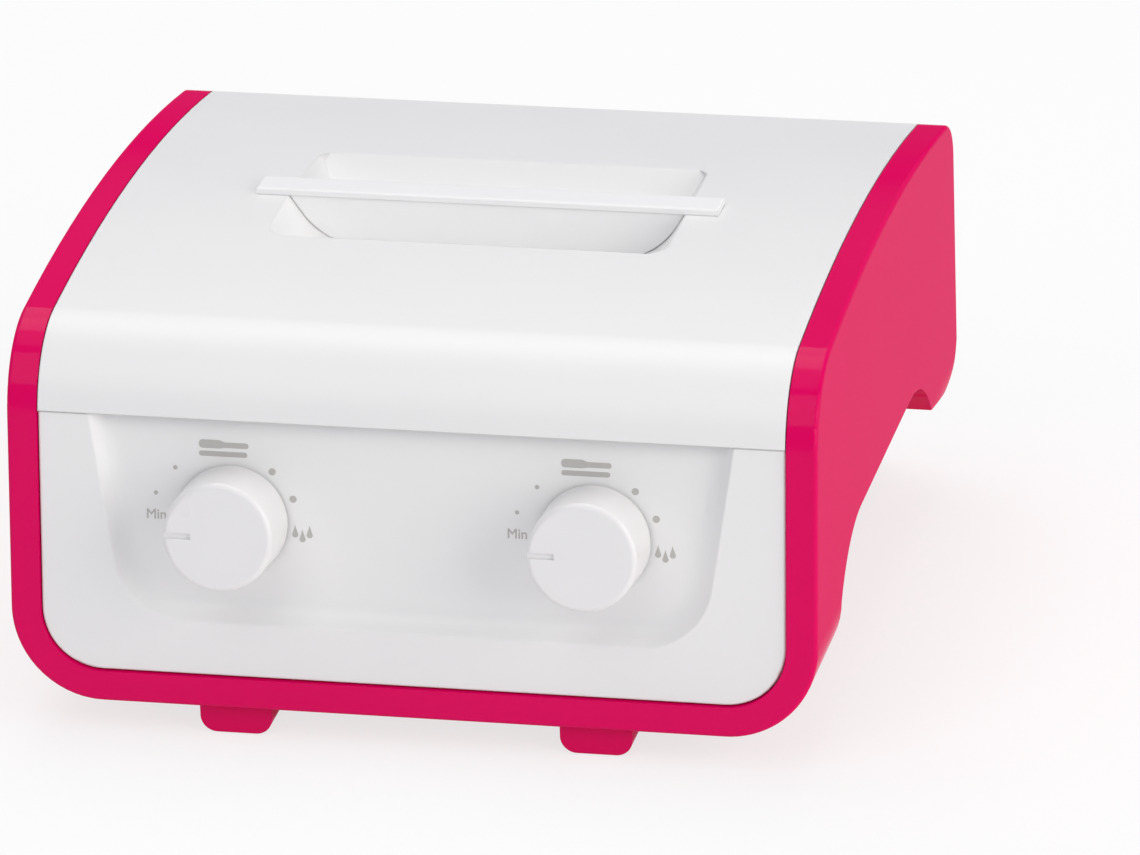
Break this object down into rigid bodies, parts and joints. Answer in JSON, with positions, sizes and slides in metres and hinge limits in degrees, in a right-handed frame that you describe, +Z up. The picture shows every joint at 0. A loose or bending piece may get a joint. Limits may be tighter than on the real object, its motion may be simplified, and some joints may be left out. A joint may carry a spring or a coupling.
{
  "type": "wax heater",
  "caption": "Wax heater: glossy moulded casing with a leaning dial panel, hand-hold arches, lift-off lid with a grip bar over a finger scoop, and lift-out pots in heated wells.",
  "frame": {"origin": "middle of the base on the table", "axes": "+Z up, the front with the dials faces -Y, +X to the right seen from the front"},
  "size_m": [0.29, 0.2956, 0.1529],
  "materials": {
    "pink_plastic": "glossy",
    "white_plastic": "satin",
    "knob_plastic": "satin",
    "dark_plastic": "matt",
    "pale_plastic": "matt",
    "aluminium": "spun",
    "steel": "plated",
    "copper": "bright",
    "lead_insulation": "matt",
    "pad_rubber": "matt"
  },
  "bodies": {
    "housing": {"outer_casing": "pink_plastic", "foot_pads": "pad_rubber", "base_screws": "steel", "front_panel": "white_plastic", "rear_panel": "white_plastic", "deck": "pale_plastic", "terminal_block": "dark_plastic", "cord_gland": "dark_plastic", "bush_nuts": "steel", "left_well": "aluminium", "right_well": "aluminium", "left_band_heater": "steel", "right_band_heater": "steel", "left_clamp_screw": "steel", "right_clamp_screw": "steel", "left_thermal_cutout": "steel", "right_thermal_cutout": "steel", "left_thermostat": "dark_plastic", "right_thermostat": "dark_plastic", "left_sensor": "copper", "right_sensor": "copper", "left_leads": "lead_insulation", "right_leads": "lead_insulation"},
    "lid": {"lid": "white_plastic", "lid_grip_bar": "white_plastic", "bar_push_nuts": "steel"},
    "left_dial": {"left_knob": "knob_plastic", "left_shaft": "steel"},
    "right_dial": {"right_knob": "knob_plastic", "right_shaft": "steel"},
    "left_pot": {"left_pot": "aluminium"},
    "right_pot": {"right_pot": "aluminium"}
  },
  "joints": [
    {"name": "lid_lift", "type": "slide", "parent": "housing", "child": "lid", "axis": [0, 0, 1], "range_m": [0, 0.2]},
    {"name": "left_pot_lift", "type": "slide", "parent": "housing", "child": "left_pot", "axis": [0, 0, 1], "range_m": [0, 0.1]},
    {"name": "right_pot_lift", "type": "slide", "parent": "housing", "child": "right_pot", "axis": [0, 0, 1], "range_m": [0, 0.1]},
    {"name": "left_dial_turn", "type": "hinge", "parent": "housing", "child": "left_dial", "pos_m": [-0.065, -0.12274, 0.07891], "axis": [0, 0.9936, -0.1132], "range_deg": [0, 180]},
    {"name": "right_dial_turn", "type": "hinge", "parent": "housing", "child": "right_dial", "pos_m": [0.065, -0.12274, 0.07891], "axis": [0, 0.9936, -0.1132], "range_deg": [0, 180]}
  ],
  "couplings": [
    {"joint": "left_pot_lift", "follows": "lid_lift", "ratio": 0.5},
    {"joint": "right_pot_lift", "follows": "lid_lift", "ratio": 0.5}
  ]
}
